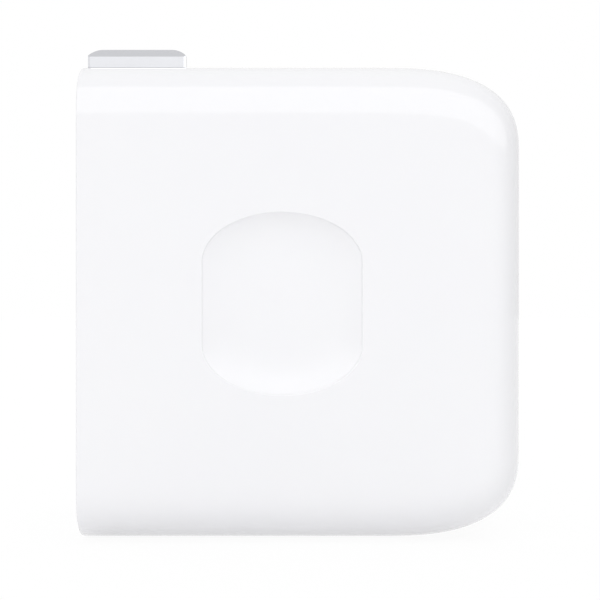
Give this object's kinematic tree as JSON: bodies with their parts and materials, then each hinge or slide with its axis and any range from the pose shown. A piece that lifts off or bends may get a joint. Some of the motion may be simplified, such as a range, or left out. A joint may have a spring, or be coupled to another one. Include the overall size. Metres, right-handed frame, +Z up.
{
  "type": "laptop power adapter",
  "caption": "Compact white wall-plug power adapter with fold-away flat blades, a dished grip on each broad side and a USB-C socket opposite the wall side.",
  "frame": {"origin": "under the middle of the body, at its base", "axes": "+X away from the wall, towards the socket side; +Y across the two blades; +Z up, the way the folded blades point"},
  "size_m": [0.0276, 0.028, 0.0314],
  "materials": {
    "white_housing": "moulded white polycarbonate, satin gloss",
    "inner_plastic": "moulded PBT, matt",
    "blade_metal": "stamped brass with bright nickel plating",
    "spring_steel": "rolled spring steel",
    "contact_bronze": "rolled phosphor bronze",
    "board_laminate": "glass-epoxy laminate with green solder mask",
    "fuse_ceramic": "ceramic tube with end caps",
    "dark_ceramic": "coated ceramic disc",
    "blue_ceramic": "blue coated ceramic disc",
    "film_case": "moulded film capacitor case",
    "ferrite": "pressed and fired ferrite",
    "copper_wire": "enamelled copper wire",
    "bobbin_plastic": "moulded phenolic",
    "chip_case": "moulded epoxy",
    "spreader_aluminium": "rolled aluminium sheet",
    "pad_silicone": "soft thermal silicone",
    "isolation_film": "polyester film",
    "capacitor_sleeve": "aluminium can in a dark shrink sleeve",
    "capacitor_can": "bare aluminium can",
    "socket_steel": "drawn stainless steel",
    "socket_insulator": "moulded black liquid-crystal polymer",
    "contact_gold": "gold-plated copper alloy"
  },
  "bodies": {
    "housing": {"housing_shell": "white_housing", "wall_plate": "white_housing", "hinge_cover": "inner_plastic", "detent_spring": "spring_steel", "contact_spring_line": "contact_bronze", "contact_spring_neutral": "contact_bronze", "input_board": "board_laminate", "main_board": "board_laminate", "port_board": "board_laminate", "fuse": "fuse_ceramic", "inrush_thermistor": "dark_ceramic", "x_capacitor": "film_case", "choke_core": "ferrite", "choke_windings": "copper_wire", "bridge_rectifier": "chip_case", "transformer_core": "ferrite", "transformer_bobbin": "bobbin_plastic", "transformer_winding": "copper_wire", "y_capacitor": "blue_ceramic", "optocoupler": "chip_case", "switch_controller": "chip_case", "sync_rectifier": "chip_case", "heat_spreader": "spreader_aluminium", "thermal_pad": "pad_silicone", "isolation_sheet": "isolation_film", "bulk_capacitors": "capacitor_sleeve", "output_capacitor": "capacitor_can", "pd_controller": "chip_case", "load_switch": "chip_case", "usb_c_shell": "socket_steel", "usb_c_tongue": "socket_insulator", "usb_c_contacts": "contact_gold"},
    "prongs": {"prong_rotor": "white_housing", "blade_line": "blade_metal", "blade_neutral": "blade_metal"}
  },
  "joints": [
    {"name": "prong_fold", "type": "hinge", "parent": "housing", "child": "prongs", "pos_m": [-0.01057, 0, 0.01099], "axis": [0, -1, 0], "range_deg": [0, 90]}
  ]
}
